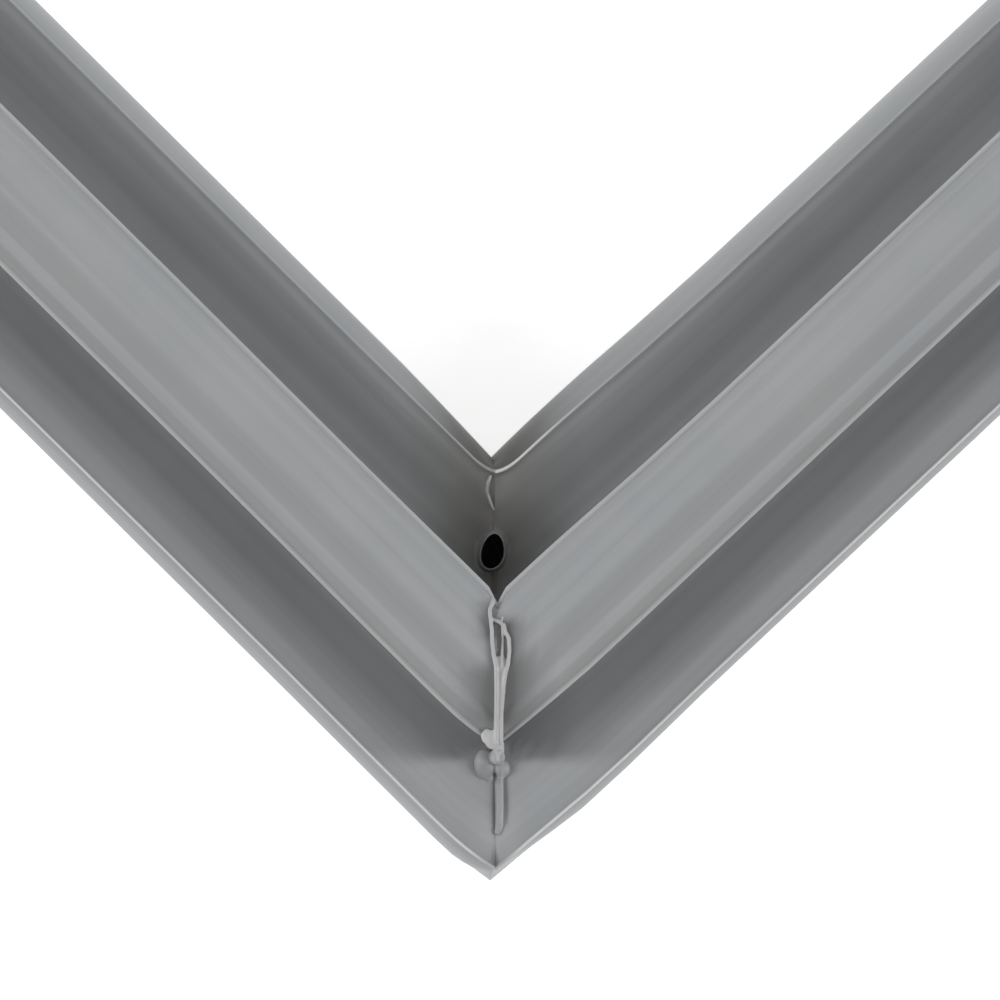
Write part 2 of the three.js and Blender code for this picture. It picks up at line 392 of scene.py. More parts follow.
def shifted_out(across, away, height, long_side):
    """How far a point lies further out than drawn: the wings were clamped a little unevenly."""
    on_wings = ramp(height, *WING_START) * (1 - ramp(height, *WING_END))
    shift = INNER_CREST_BACK * ramp(-across, *WING_EDGE) * on_wings
    if not long_side:
        far = ramp(away, *SHORT_SHIFT_START)
        shift += SHORT_SHIFT * far * (1 - ramp(height, *BELOW_DART))
        shift += SHORT_LIP_SHIFT * far * ramp(across, *WING_EDGE) * on_wings
        shift += SHORT_SHIFT * far * ramp(-across, *DART_BACK) * ramp(height, *DART_FACE)
    return shift


def sunk_dart(across, away, height):
    """How far the dart's head sinks beside the bead, and the share of the notch in its tip."""
    on_dart = ramp(height, *DART_HEAD)
    if on_dart == 0:
        return 0, 0
    dip = math.exp(-((away / GROOVE_REACH) ** 2)) * (0.5 + 0.5 * ramp(across, -4, 1))
    notch = ramp(-across, *TIP_NOTCH_START) * fade(away, TIP_NOTCH_REACH)
    return GROOVE_DEPTH * dip * on_dart, notch


def seam_relief(across, away, height):
    """The height of the fine line on the seam, where it stands up or is cut in."""
    top = ramp(height, *SEAM_BOTTOM) * (1 - ramp(height, *SEAM_TOP))
    rough = 0.75 + 0.6 * noise.noise(Vector((across * 0.9, 2.2, 4.4)))
    relief = SEAM_HEIGHT if across < 0 else -SEAM_CUT
    return relief * fade(away, SEAM_REACH) * rough * top


def shape_point(co):
    """The place of a point of the quarter once the corner is welded."""
    across, away, long_side = place_of(co)
    height = co.z
    inward = Vector((1, 1, 0)) / ROOT2
    outward = Vector((-1, 0, 0)) if long_side else Vector((0, -1, 0))
    towards_mitre = Vector((0, -1, 0)) if long_side else Vector((-1, 0, 0))
    sway, lift = ripple(across, away, height, long_side)
    shift = shifted_out(across, away, height, long_side)
    sink, notch = sunk_dart(across, away, height)
    moved = co + outward * sway + Vector((0, 0, lift))
    moved += inward * pinch(across, away, height, long_side) * ramp(height, *PINCH_FOOT)
    moved += outward * splay(across, away, long_side)
    moved += outward * shift + towards_mitre * shift * (1 - ramp(away, *SHIFT_CORNER))
    moved.z -= sink
    moved -= inward * TIP_NOTCH * notch
    moved.z += seam_relief(across, away, height)
    return moved


lean = max(splay(0, away, False) for away in range(250))
print("the short side leans out by up to", round(lean, 2), "mm")

# %% [markdown]
# ## The air vent
# A small oval hole on the seam lets the bulb breathe when the door shuts. The faces inside the
# oval go, the edge of the gap is snapped to the oval, and the edge loop is extruded up, over and
# down, which gives the raised lip that the punch and the heat left round it.

# %% Cut the vent and raise its lip
VENT_ALONG = -11.75
VENT_LENGTH = 3.5
VENT_WIDTH = 2.3
VENT_LEAN = -0.1
VENT_SIDE = -0.22
VENT_EGG = 0.12
TROUGH_HEIGHTS = (13.6, 15.6)
CEILING_HEIGHTS = (12.2, 13.2)
CEILING_GROWTH = 0.1
LIP_BASE = 0.3
LIP_RINGS = [(0.24, 0.22), (0.14, 0.34), (0.02, 0.3), (-0.08, 0.02), (-0.1, -1.3)]


def vent_place(co, grow):
    """(angle, distance in radii) of a point from the middle of the vent."""
    along, across = mitre_place(co)
    across -= VENT_LEAN * (along - VENT_ALONG) + VENT_SIDE
    da = (along - VENT_ALONG) / (VENT_LENGTH / 2 + grow)
    db = across / ((VENT_WIDTH / 2 + grow) * (1 + VENT_EGG * max(min(da, 1), -1)))
    return math.atan2(db, da), math.hypot(da, db)


def on_vent(angle, grow, height):
    """The point of the vent's oval, grown by this much, at an angle and a height."""
    da = math.cos(angle)
    along = VENT_ALONG + (VENT_LENGTH / 2 + grow) * da
    across = (VENT_WIDTH / 2 + grow) * (1 + VENT_EGG * da) * math.sin(angle)
    across += VENT_LEAN * (along - VENT_ALONG) + VENT_SIDE
    return from_mitre(along, across, height)


def open_gap(bm, low, high, grow):
    """Deletes the faces inside the oval between two heights, and returns the gap's edge loop."""
    inside = []
    for face in bm.faces:
        middle = face.calc_center_median()
        if low < middle.z < high and vent_place(middle, grow)[1] < 1:
            inside.append(face)
    edge_ring = {e for f in inside for e in f.edges if any(g not in inside for g in e.link_faces)}
    bmesh.ops.delete(bm, geom=inside, context="FACES")
    edges = [edge for edge in edge_ring if edge.is_valid and len(edge.link_faces) == 1]
    for vert in {v for edge in edges for v in edge.verts}:
        vert.co = on_vent(vent_place(vert.co, grow)[0], grow, vert.co.z)
    return edges


def raise_lip(bm, edges, rings):
    """Extrudes an edge loop through rings of (growth of the oval, rise)."""
    for grow, rise in rings:
        made = bmesh.ops.extrude_edge_only(bm, edges=edges)["geom"]
        verts = {item for item in made if isinstance(item, bmesh.types.BMVert)}
        edges = [
            item
            for item in made
            if isinstance(item, bmesh.types.BMEdge) and set(item.verts) <= verts
        ]
        for vert in verts:
            angle = vent_place(vert.co, 0)[0]
            vert.co = on_vent(angle, grow, vert.co.z + rise)
    return edges


def cut_vent(bm):
    """Opens the trough and the ceiling of the air chamber, and joins the two by the lip."""
    lip = open_gap(bm, *TROUGH_HEIGHTS, LIP_BASE)
    lip = raise_lip(bm, lip, LIP_RINGS)
    ceiling = open_gap(bm, *CEILING_HEIGHTS, CEILING_GROWTH)
    bmesh.ops.bridge_loops(bm, edges=lip + ceiling)


print("vent", VENT_LENGTH, "by", VENT_WIDTH, "mm, with", len(LIP_RINGS), "rings of lip")

# %% [markdown]
# ## Painted light and shade
# The plastic has one colour, with painted light and shade over it: a painted highlight on the
# thin lips, the barb's rim and the outer corner, a warm brown painted shade in the inner corner,
# and a dark painted shade beside the bead and round the blob. Each point of the ring stores how
# much of each it has, and the material mixes its tints by these amounts.

# %% Say how much painted highlight and shade a point gets
# Where the painted highlight lies: on the wings' lips, on the barb's rim and in the outer corner.
LIP_START = (17.06, 17.2)
LIP_END = (17.5, 18)
OUTER_LIP_AT_MITRE = 0.2
INNER_LIP_AWAY = 0.05
BARB_RIM_HIGHLIGHT = 0.3
CORNER_PAINTED_LIGHT = 0.3
CORNER_PAINTED_LIGHT_REACH = 3.5
# How far the warm painted shade of the inner corner reaches, and its share on the long side and on
# the vent's lip.
CORNER_SHADE_REACH = 13
LONG_SIDE_SHADE = 1.25
VENT_LIP_SHADE = 0.4
# Where the dark painted shade lies: the middle of the bead, the shadow beside the blob, the tail's
# side and the seam.
BEAD_MIDDLE = 0.25
BLOB_SHADOW = (7.8, 1.7)
TAIL_SIDE = 1.05
SEAM_SIDE = 0.02


def painted_highlight_amount(co):
    """Painted highlight: up to 1 on the wings' thin lips, and a little on the barb's rim and in the
    outer corner.
    """
    across, away, long_side = place_of(co)
    lip = ramp(co.z, *LIP_START) * (1 - ramp(co.z, *LIP_END))
    if across > 0:
        lip *= OUTER_LIP_AT_MITRE + (1 - OUTER_LIP_AT_MITRE) * ramp(away, 0.5, 4)
    elif long_side:
        lip *= INNER_LIP_AWAY
    else:
        lip *= INNER_LIP_AWAY + (1 - INNER_LIP_AWAY) * (1 - ramp(away, 2, 12))
    # Painted highlight on the barb's rim, and painted light in the outer corner of the outer wing.
    barb = BARB_RIM_HIGHLIGHT * ramp(abs(across), 5, 5.25) * ramp(co.z, 20.2, 20.5)
    corner = CORNER_PAINTED_LIGHT * ramp(across, 9.5, 11.5) * fade(away, CORNER_PAINTED_LIGHT_REACH)
    return max(lip, barb, corner * ramp(co.z, 14, 14.5))


def warm_shade_amount(co):
    """Painted shade: up to 1 in the inner corner, and a little on the steps of the dart's outer half,
    which face away from the light.
    """
    across, away, long_side = place_of(co)
    corner = fade(away, CORNER_SHADE_REACH, 1.3) * ramp(-across, 3, 6) * (1 - ramp(co.z, 17, 17.6))
    if long_side:
        corner = min(1, LONG_SIDE_SHADE * corner)
    # The vent's raised lip gets less of the painted shade.
    if co.z > 13.5 and vent_place(co, LIP_BASE)[1] < 1.03:
        corner *= VENT_LIP_SHADE
    # Painted shade on the steps of the dart's outer half, which face away from the light.
    shaded_half = 0.24 * ramp(across, 0.1, 0.8) * (1 - ramp(across, 2.6, 3))
    step = 0.34 * ramp(across, 3.7, 4.1) * (1 - ramp(across, 4.9, 5.1))
    return max(corner, (shaded_half + step) * ramp(co.z, 20.4, 20.7))


def painted_shade_on_dart(along, side):
    """Painted shade on the dart, dark beside the bead and fading away from it on each side."""
    if side > 0:
        reach = 2.9 + 2 * ramp(along, -3, -0.5)
        strength = ramp(along, -6.2, -4.6) * (1 - 0.3 * ramp(along, 4, 6))
    else:
        reach = 2.6 + 2.2 * ramp(along, -2, 0)
        strength = 0.9 - 0.65 * ramp(along, -4, -3) * (1 - ramp(along, -2, 0))
        strength *= ramp(along, -7.6, -6.6)
        strength *= 1 - 0.35 * ramp(along, 3.6, 5.4)
    away = abs(side - BEAD_MIDDLE)
    return strength * max(0, min(1, (reach - away) / (reach - 1)))


def painted_shade_on_wing(along, side):
    """Painted shade under the barb, beside the blob, along the tail and in the seam."""
    under = (1 if side > 0 else 0.8) * fade(abs(side - BEAD_MIDDLE), 7.5)
    under *= ramp(along, 1, 3)
    under *= 1 - ramp(along, 7.2, 8.4)
    halo_along, halo_side = BLOB_SHADOW
    halo = math.exp(-(((along - halo_along) / 1.1) ** 2) - ((side - halo_side) / 0.45) ** 2)
    tail = 0.55 * math.exp(-(((side - TAIL_SIDE) / 0.2) ** 2))
    tail *= ramp(along, 9.6, 10.2) * (1 - ramp(along, 14.6, 15.2))
    seam = 0.3 * fade(abs(side - SEAM_SIDE), 0.18) * ramp(along, 9.5, 10.5)
    return min(1, max(under, 0.9 * halo, tail, seam))


def dark_shade_amount(co):
    """Up to 1 where shade is painted beside the bead and round the blob."""
    along, side = mitre_place(co)
    if co.z > 20.4:
        return painted_shade_on_dart(along, side)
    if 13.5 < co.z < 17 and along > 0:
        return painted_shade_on_wing(along, side)
    return 0


# The painted shade beside the bead, at four distances across it.
print("dull beside the bead", [round(painted_shade_on_dart(0, side), 2) for side in (1, 2, 3, 4)])

# %% [markdown]
# ## The ring
# The skins are swept, shaped and vented as one quarter, mirrored twice, and merged where the
# copies meet. Each point also keeps how far round the outline it lies, so that the extrusion
# lines of the material can follow the profile round every bend.

# %% Make the ring
def outline_lookup(section):
    """A tree of the outline's points, and the length of outline up to each of them."""
    tree = kdtree.KDTree(len(section))
    lengths = []
    total = 0
    for i, point in enumerate(section):
        total += (point - section[i - 1]).length if i else 0
        lengths.append(total)
        tree.insert(Vector((point.x, point.y, 0)), i)
    tree.balance()
    return tree, lengths


def mark_streaks(bm, section):
    """Stores the outline length in u and the distance from the mitre in v, both in millimetres."""
    tree, lengths = outline_lookup(section)
    uv = bm.loops.layers.uv.new("profile")
    for face in bm.faces:
        for loop in face.loops:
            across, away, _ = place_of(loop.vert.co)
            found = tree.find(Vector((across, loop.vert.co.z, 0)))[1]
            loop[uv].uv = (lengths[found], away)


ring_bm = bmesh.new()
sweep_quarter(ring_bm, outline)
mark_streaks(ring_bm, outline)
for inner in (chamber_outline(), pocket_outline()):
    sweep_quarter(ring_bm, list(reversed(inner)))
bmesh.ops.recalc_face_normals(ring_bm, faces=ring_bm.faces[:])
cut_vent(ring_bm)
# Painted highlight on the lips, the barb's rim and the outer corner, stored as rim.
highlight_layer = ring_bm.verts.layers.float.new("rim")
# Warm painted shade in the inner corner and on the dart's outer half.
warm_shade_layer = ring_bm.verts.layers.float.new("warm_painted_shade")
# Dark painted shade beside the bead, under the barb and round the blob.
dark_shade_layer = ring_bm.verts.layers.float.new("dull")
# Painted highlight on the flash, stored as melt.
flash_highlight_layer = ring_bm.verts.layers.float.new("melt")
for vert in ring_bm.verts:
    vert[highlight_layer] = painted_highlight_amount(vert.co)
    vert[warm_shade_layer] = warm_shade_amount(vert.co)
    vert[dark_shade_layer] = dark_shade_amount(vert.co)
    vert.co = shape_point(vert.co)
print("faces in a quarter", len(ring_bm.faces))

# %% [markdown]
# ## Weld flash
# The melt that is squeezed out of the joint stands on the dart as thin curls that run together
# into a bead, swells into a blob at the barb's edge, and ends as a tail on the outer wing. A thin
# web of it closes the gap under the barb, and fine threads lie along the seam on both wings. The
# curls, the bead, the tail and the threads start as tubes, each a circle that is extruded from
# stop to stop, and the blob starts as eggs. A voxel remesh melts them into one lump, two rounds of
# smoothing soften it, and it is thinned to a fifth of its faces.

# %% Make the flash of one corner
CROWN_STEPS = [(0, 21.9), (0.6, 21.79), (2.75, 21.24), (3.75, 21.32), (4.85, 20.81), (5.6, 20.7)]
TUBE_SIDES = 12
VOXEL = 0.1
SMOOTH_ROUNDS = 2
THIN_RATIO = 0.2
CROWN_STRETCH = 1.17
WING_DRAWN_IN = 0.6


def crown_height(along):
    """The top of the dart at a distance along the mitre."""
    across = abs(along) / ROOT2
    for (a, high), (b, low) in zip(CROWN_STEPS, CROWN_STEPS[1:]):
        if across <= b:
            return high + (low - high) * (across - a) / (b - a)
    return CROWN_STEPS[-1][1]


def add_tube(bm, stops):
    """A closed tube through stops of (along, across, height, half width, half thickness)."""
    centres = [from_mitre(*stop[:3]) for stop in stops]
    frames = []
    for i, (centre, stop) in enumerate(zip(centres, stops)):
        run = centres[min(i + 1, len(stops) - 1)] - centres[max(i - 1, 0)]
        run.normalize()
        wide = run.cross(Vector((0, 0, 1)))
        if wide.length < 0.1:
            wide = Vector((1, -1, 0))
        wide.normalize()
        thick = wide.cross(run)
        turn = Matrix((wide, thick, run)).transposed().to_4x4()
        size = Matrix.Diagonal((stop[3], stop[4], 1, 1))
        frames.append(Matrix.Translation(centre) @ turn @ size)
    made = bmesh.ops.create_circle(
        bm, cap_ends=True, segments=TUBE_SIDES, radius=1, matrix=frames[0]
    )
    verts = made["verts"]
    edges = [e for e in {e for v in verts for e in v.link_edges} if set(e.verts) <= set(verts)]
    for before, after in zip(frames, frames[1:]):
        made = bmesh.ops.extrude_edge_only(bm, edges=edges)["geom"]
        verts = [item for item in made if isinstance(item, bmesh.types.BMVert)]
        ring = set(verts)
        edges = [
            item
            for item in made
            if isinstance(item, bmesh.types.BMEdge) and set(item.verts) <= ring
        ]
        bmesh.ops.transform(bm, verts=verts, matrix=after @ before.inverted())
    bmesh.ops.contextual_create(bm, geom=edges)


def add_lump(bm, along, across, height, half_sizes):
    """An egg, longest along the mitre, with its half sizes along, across and up."""
    turn = Matrix.Rotation(math.radians(-135), 4, "Z")
    place = Matrix.Translation(from_mitre(along, across, height)) @ turn
    size = Matrix.Diagonal((*half_sizes, 1))
    bmesh.ops.create_icosphere(bm, subdivisions=3, radius=1, matrix=place @ size)


def wing_height(along):
    """The top of a wing at a distance along the mitre, below the seam's ridge."""
    across = along / ROOT2 + WING_DRAWN_IN if along > 0 else -along / ROOT2
    top = [point for point in outline if point.x > 4.4 and BASE_HEIGHT - 0.01 < point.y < 16.5]
    return min(top, key=lambda point: abs(point.x - across) + 10 * (point.y > 17)).y


def on_crown(along, across, lift, half_width, half_height):
    """A stop above the dart, whose steps are taken to lie further out on the outer half."""
    reach = along / CROWN_STRETCH if along > 0 else along
    return (along, across, crown_height(reach) - GROOVE_DEPTH + lift, half_width, half_height)


def on_wing(along, across, lift, half_width, half_height):
    """A stop above the wing, given like one above the dart."""
    return (along, across, wing_height(along) + lift, half_width, half_height)


LEFT_CURL = [
    on_crown(-7.45, -0.42, 0.1, 0.2, 0.2),
    on_crown(-6.9, -0.5, 0.3, 0.3, 0.32),
    on_crown(-6.3, -0.75, 0.35, 0.22, 0.36),
    on_crown(-5.4, -0.68, 0.35, 0.18, 0.38),
    on_crown(-4.4, -0.55, 0.32, 0.2, 0.36),
    on_crown(-3.2, -0.52, 0.3, 0.19, 0.36),
    on_crown(-2.0, -0.38, 0.3, 0.2, 0.34),
    on_crown(-0.9, -0.16, 0.26, 0.22, 0.34),
    on_crown(1.2, -0.14, 0.24, 0.2, 0.32),
    on_crown(4.2, -0.14, 0.24, 0.18, 0.32),
    on_crown(6.4, -0.12, 0.22, 0.2, 0.34),
]
INNER_CURL = [
    on_crown(-5.4, -0.5, 0.2, 0.14, 0.2),
    on_crown(-5.2, 0.0, 0.3, 0.2, 0.26),
    on_crown(-4.9, 0.45, 0.32, 0.18, 0.28),
    on_crown(-4.3, 0.42, 0.2, 0.12, 0.22),
    on_crown(-3.4, 0.5, 0.18, 0.12, 0.22),
    on_crown(-2.3, 0.42, 0.2, 0.16, 0.24),
    on_crown(-0.8, 0.42, 0.24, 0.2, 0.3),
]
RIGHT_CURL = [
    on_crown(-5.0, 0.55, 0.26, 0.18, 0.24),
    on_crown(-4.3, 0.72, 0.3, 0.16, 0.3),
    on_crown(-3.6, 1.05, 0.34, 0.2, 0.36),
    on_crown(-2.4, 1.1, 0.32, 0.19, 0.36),
    on_crown(-1.2, 0.96, 0.3, 0.18, 0.34),
    on_crown(-0.3, 0.7, 0.26, 0.2, 0.32),
    on_crown(1.2, 0.5, 0.22, 0.18, 0.28),
    on_crown(3.2, 0.38, 0.2, 0.14, 0.26),
    on_crown(6.4, 0.36, 0.2, 0.16, 0.28),
]
TIP_HOOK = [
    on_crown(-6.7, 0.62, 0.1, 0.12, 0.2),
    on_crown(-6.3, 0.66, 0.2, 0.16, 0.26),
    on_crown(-5.7, 0.5, 0.12, 0.14, 0.24),
    on_crown(-5.1, 0.3, 0.1, 0.14, 0.22),
]
BEAD_BED = [
    on_crown(-1.9, 0.28, 0.06, 0.4, 0.26),
    on_crown(-0.9, 0.26, 0.08, 0.56, 0.32),
    on_crown(1.2, 0.2, 0.05, 0.54, 0.32),
    on_crown(3.5, 0.1, 0.03, 0.46, 0.32),
    on_crown(6.9, 0.08, 0.04, 0.48, 0.4),
]
BRIDGE = [
    (6.2, 0.15, 20.7, 0.46, 0.4),
    (6.9, 0.2, 19.9, 0.5, 0.45),
    (7.3, 0.28, 17.2, 0.5, 0.4),
    (7.9, 0.4, 15.0, 0.6, 0.5),
]
TAIL = [
    on_wing(9.6, 0.5, 0.2, 0.28, 0.3),
    on_wing(10.4, 0.46, 0.24, 0.36, 0.34),
    on_wing(11.8, 0.46, 0.24, 0.36, 0.34),
    on_wing(13.2, 0.44, 0.24, 0.38, 0.34),
    on_wing(14.4, 0.38, 0.2, 0.4, 0.32),
    on_wing(15.1, 0.16, 0.12, 0.3, 0.24),
]
TAIL_EDGE = [
    on_wing(9.7, 0.72, 0.36, 0.1, 0.14),
    on_wing(11.0, 0.72, 0.46, 0.1, 0.15),
    on_wing(12.8, 0.7, 0.46, 0.1, 0.15),
    on_wing(14.3, 0.62, 0.34, 0.12, 0.18),
    on_wing(15.0, 0.36, 0.2, 0.14, 0.18),
]
SEAM_THREAD = [
    on_wing(10.4, -0.3, 0.03, 0.08, 0.12),
    on_wing(12.5, -0.32, 0.03, 0.07, 0.11),
    on_wing(15.6, -0.32, 0.03, 0.07, 0.11),
    on_wing(17.6, -0.3, 0.03, 0.08, 0.12),
]
INNER_THREAD = [
    on_wing(-18.9, -0.45, 0.42, 0.15, 0.3),
    on_wing(-18.3, -0.72, 0.3, 0.18, 0.26),
    on_wing(-17.4, -0.82, 0.24, 0.18, 0.24),
    on_wing(-16.6, -0.55, 0.2, 0.16, 0.22),
    on_wing(-15.8, -0.2, 0.15, 0.14, 0.2),
    on_wing(-15.0, -0.02, 0.12, 0.13, 0.18),
    on_wing(-14.2, 0.05, 0.08, 0.11, 0.16),
]
BLOB_FLOOR = wing_height(8.3)
SMEAR_HEIGHT = crown_height(5.7 / CROWN_STRETCH) - GROOVE_DEPTH
LUMPS = [
    (8.5, -0.95, BLOB_FLOOR + 0.42, (1.5, 1.02, 0.72)),
    (9.8, -0.5, BLOB_FLOOR + 0.25, (0.85, 0.48, 0.42)),
    (8.9, 0.72, BLOB_FLOOR + 0.45, (0.9, 0.76, 0.66)),
    (5.6, -0.95, SMEAR_HEIGHT - 0.04, (0.75, 0.62, 0.22)),
    (5.9, -0.45, SMEAR_HEIGHT + 0.04, (0.95, 0.8, 0.32)),
    (7.7, 0.2, BLOB_FLOOR + 1.0, (0.85, 0.62, 0.8)),
]
WEB_START = 1.6
WEB_END = 8
WEB_HALF = 0.16


def add_web(bm):
    """The thin curtain of flash that closes the gap under the barb, in the plane of the mitre."""
    low = BASE_HEIGHT - 0.3
    high = BARB_UNDER + 0.2
    middle = from_mitre((WEB_START + WEB_END) / 2, 0.1, (low + high) / 2)
    turn = Matrix.Rotation(math.radians(-135), 4, "Z")
    size = Matrix.Diagonal((WEB_END - WEB_START, 2 * WEB_HALF, high - low, 1))
    bmesh.ops.create_cube(bm, size=1, matrix=Matrix.Translation(middle) @ turn @ size)


def flash_mesh():
    """The flash of one corner, in millimetres, melted together and smoothed."""
    bm = bmesh.new()
    curls = (LEFT_CURL, INNER_CURL, RIGHT_CURL, TIP_HOOK, BEAD_BED, BRIDGE)
    threads = (TAIL, TAIL_EDGE, SEAM_THREAD, INNER_THREAD)
    for stops in curls + threads:
        add_tube(bm, stops)
    add_web(bm)
    for lump in LUMPS:
        add_lump(bm, *lump)
    bmesh.ops.recalc_face_normals(bm, faces=bm.faces[:])
    rough = bpy.data.meshes.new("flash_rough")
    bm.to_mesh(rough)
    bm.free()
    return melted(rough)


def melted(rough):
    """The mesh remeshed into one skin and thinned to what its size needs."""
    stand_in = bpy.data.objects.new("flash_rough", rough)
    bpy.context.collection.objects.link(stand_in)
    remesh = stand_in.modifiers.new("melt", "REMESH")
    remesh.mode = "VOXEL"
    remesh.voxel_size = VOXEL
    smooth = stand_in.modifiers.new("soften", "SMOOTH")
    smooth.factor = 0.5
    smooth.iterations = SMOOTH_ROUNDS
    thin = stand_in.modifiers.new("thin", "DECIMATE")
    thin.ratio = THIN_RATIO
    found = stand_in.evaluated_get(bpy.context.evaluated_depsgraph_get())
    result = bpy.data.meshes.new_from_object(found)
    bpy.data.objects.remove(stand_in)
    return result


flash = flash_mesh()
print("flash faces", len(flash.polygons))

# %% [markdown]
# ## Joining the ring
# The flash joins the quarter with its own painted highlight and shade. Two mirror steps make the
# whole ring, and the points that meet are merged. The normals are left as the mirroring gives them,
# so the faces of the two quarters that are mirrored once point inwards.

# %% Join and mirror the ring
def finish_mesh(name, bm):
    """A finished object in metres at the origin, smooth except over its sharp edges."""
    bmesh.ops.scale(bm, verts=bm.verts[:], vec=(MM, MM, MM))
    mesh = bpy.data.meshes.new(name)
    bm.to_mesh(mesh)
    bm.free()
    mesh.shade_smooth()
    mesh.set_sharp_from_angle(angle=math.radians(40))
    piece = bpy.data.objects.new(name, mesh)
    bpy.context.collection.objects.link(piece)
    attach(piece, "root")
    return piece


def mirror_round(bm):
    """Mirrors the quarter across both middle planes and merges the seams."""
    for axis in ("X", "Y"):
        bmesh.ops.mirror(bm, geom=bm.verts[:] + bm.edges[:] + bm.faces[:], axis=axis, merge_dist=1e-4)


def paint_flash(verts):
    """Stores the painted light and shade of the flash: a painted highlight high up, a painted
    highlight on the smear, the bridge and the tail's edge, and a painted shade on the blob and the
    inner thread.
    """
    for vert in verts:
        along, across = mitre_place(vert.co)
        height = vert.co.z
        # Painted highlight, growing with height on the flash.
        vert[flash_highlight_layer] = ramp(height, 16, 19)
        on_smear = height > 20 and across < -0.35 and 5 < along < 6.7
        on_bridge = 15.4 < height < 19 and along < 8.5 and abs(across - 0.2) < 0.8
        on_blob = height < 16.5 and 8.3 < along < 10.3 and across < 0.6
        on_inner_thread = height < 18 and along < 0
        on_tail_edge = height < 16 and across > 0.6 and along > 9.6
        # Painted highlight on the smear.
        if on_smear:
            vert[highlight_layer] = 0.12
        # Painted highlight on the bridge.
        if on_bridge:
            vert[flash_highlight_layer] = 1
        # Painted shade on the blob.
        if on_blob:
            vert[dark_shade_layer] = 0.3
        # Painted shade on the inner thread, as in the corner round it.
        if on_inner_thread:
            vert[warm_shade_layer] = 0.45
        # Painted highlight on the tail's edge.
        if on_tail_edge:
            vert[flash_highlight_layer] = 0.9


count = len(ring_bm.verts)
ring_bm.from_mesh(flash)
ring_bm.verts.ensure_lookup_table()
paint_flash(ring_bm.verts[count:])
mirror_round(ring_bm)
bmesh.ops.remove_doubles(ring_bm, verts=ring_bm.verts[:], dist=1e-4)
open_edges = [edge for edge in ring_bm.edges if len(edge.link_faces) != 2]
print("open edges", len(open_edges), "faces", len(ring_bm.faces))
gasket = finish_mesh("gasket", ring_bm)
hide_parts("gasket_profile")
triangles = sum(len(p.vertices) - 2 for p in gasket.data.polygons)
print("triangles", triangles)

# %% [markdown]
# ## Floor, light and camera
# The gasket was photographed from straight above on white. Three soft lamps stand one above the
# other on the left and three on the right, and a dim one shines from the far and the near side
# each. The camera, and the rays in gloss and glass, see a pure white background, while a weaker
# and slightly warmer one lights the gasket from all round.

# %% Set the camera
SCALE = 0.0935
PHOTO_SIZE = 1000
PHOTO_MIDDLE = PHOTO_SIZE / 2
FIELD = PHOTO_SIZE * SCALE
SENSOR = 36
DISTANCE = 480
CORNER_X = 498
CORNER_Y = 677
LEAN_RIGHT = -21
LEAN_UP = -4

corner_down = (PHOTO_MIDDLE - CORNER_Y) * SCALE
corner_right = (PHOTO_MIDDLE - CORNER_X) * SCALE
target = from_mitre(corner_down, corner_right, NOSE_HEIGHT)
image_right = Vector((1, -1, 0)).normalized()
image_up = Vector((1, 1, 0)).normalized()
eye = target + Vector((0, 0, DISTANCE)) + image_right * LEAN_RIGHT + image_up * LEAN_UP
backward = (eye - target).normalized()
right = image_up.cross(backward).normalized()
up = backward.cross(right)
camera_data = bpy.data.cameras.new("camera")
camera_data.sensor_width = SENSOR
camera_data.lens = SENSOR * DISTANCE / FIELD
camera_data.clip_start = 0.01
camera_data.clip_end = 20
camera = bpy.data.objects.new("camera", camera_data)
turn = Matrix((right, up, backward)).transposed().to_4x4()
camera.matrix_world = Matrix.Translation(eye * MM) @ turn
bpy.context.collection.objects.link(camera)
bpy.context.scene.camera = camera
print("camera at", [round(v, 1) for v in eye], "lens", round(camera_data.lens, 1))

# %% Light the scene
def background_rays(nodes, links):
    """1 for the rays that show the background: the camera's, and those in gloss and glass."""
    rays = nodes.new("ShaderNodeLightPath")
    total = rays.outputs["Is Camera Ray"]
    for name in ("Is Glossy Ray", "Is Transmission Ray"):
        add = nodes.new("ShaderNodeMath")
        add.operation = "ADD"
        add.use_clamp = True
        links.new(total, add.inputs[0])
        links.new(rays.outputs[name], add.inputs[1])
        total = add.outputs["Value"]
    return total


def add_sun(name, direction, strength, softness, colour):
    """A far lamp that shines from the direction, which points from the object to the lamp."""
    lamp = bpy.data.lights.new(name, "SUN")
    lamp.energy = strength * math.pi
    lamp.angle = math.radians(softness)
    lamp.color = colour
    sun = bpy.data.objects.new(name, lamp)
    sun.rotation_euler = direction.to_track_quat("Z", "Y").to_euler()
    bpy.context.collection.objects.link(sun)


def from_side(towards, elevation):
    """A direction that rises this many degrees above a level one."""
    flat = math.cos(math.radians(elevation))
    return towards.normalized() * flat + Vector((0, 0, math.sin(math.radians(elevation))))


COOL = (0.975, 0.99, 1)
SIDE_LAMPS = ((14, 0.06), (27, 0.16), (43, 0.06))
SIDE_SOFTNESS = 12
RIGHT_SHARE = 0.93
LIT_STRENGTH = 0.285
for elevation, share in SIDE_LAMPS:
    strength = share / math.sin(math.radians(elevation))
    on_left = from_side(-image_right, elevation)
    on_right = from_side(image_right, elevation)
    add_sun("lamp_left", on_left, strength, SIDE_SOFTNESS, COOL)
    add_sun("lamp_right", on_right, strength * RIGHT_SHARE, SIDE_SOFTNESS, COOL)
add_sun("lamp_far", from_side(image_up, 48), 0.12, 35, COOL)
add_sun("lamp_near", from_side(-image_up, 28), 0.06, 30, COOL)

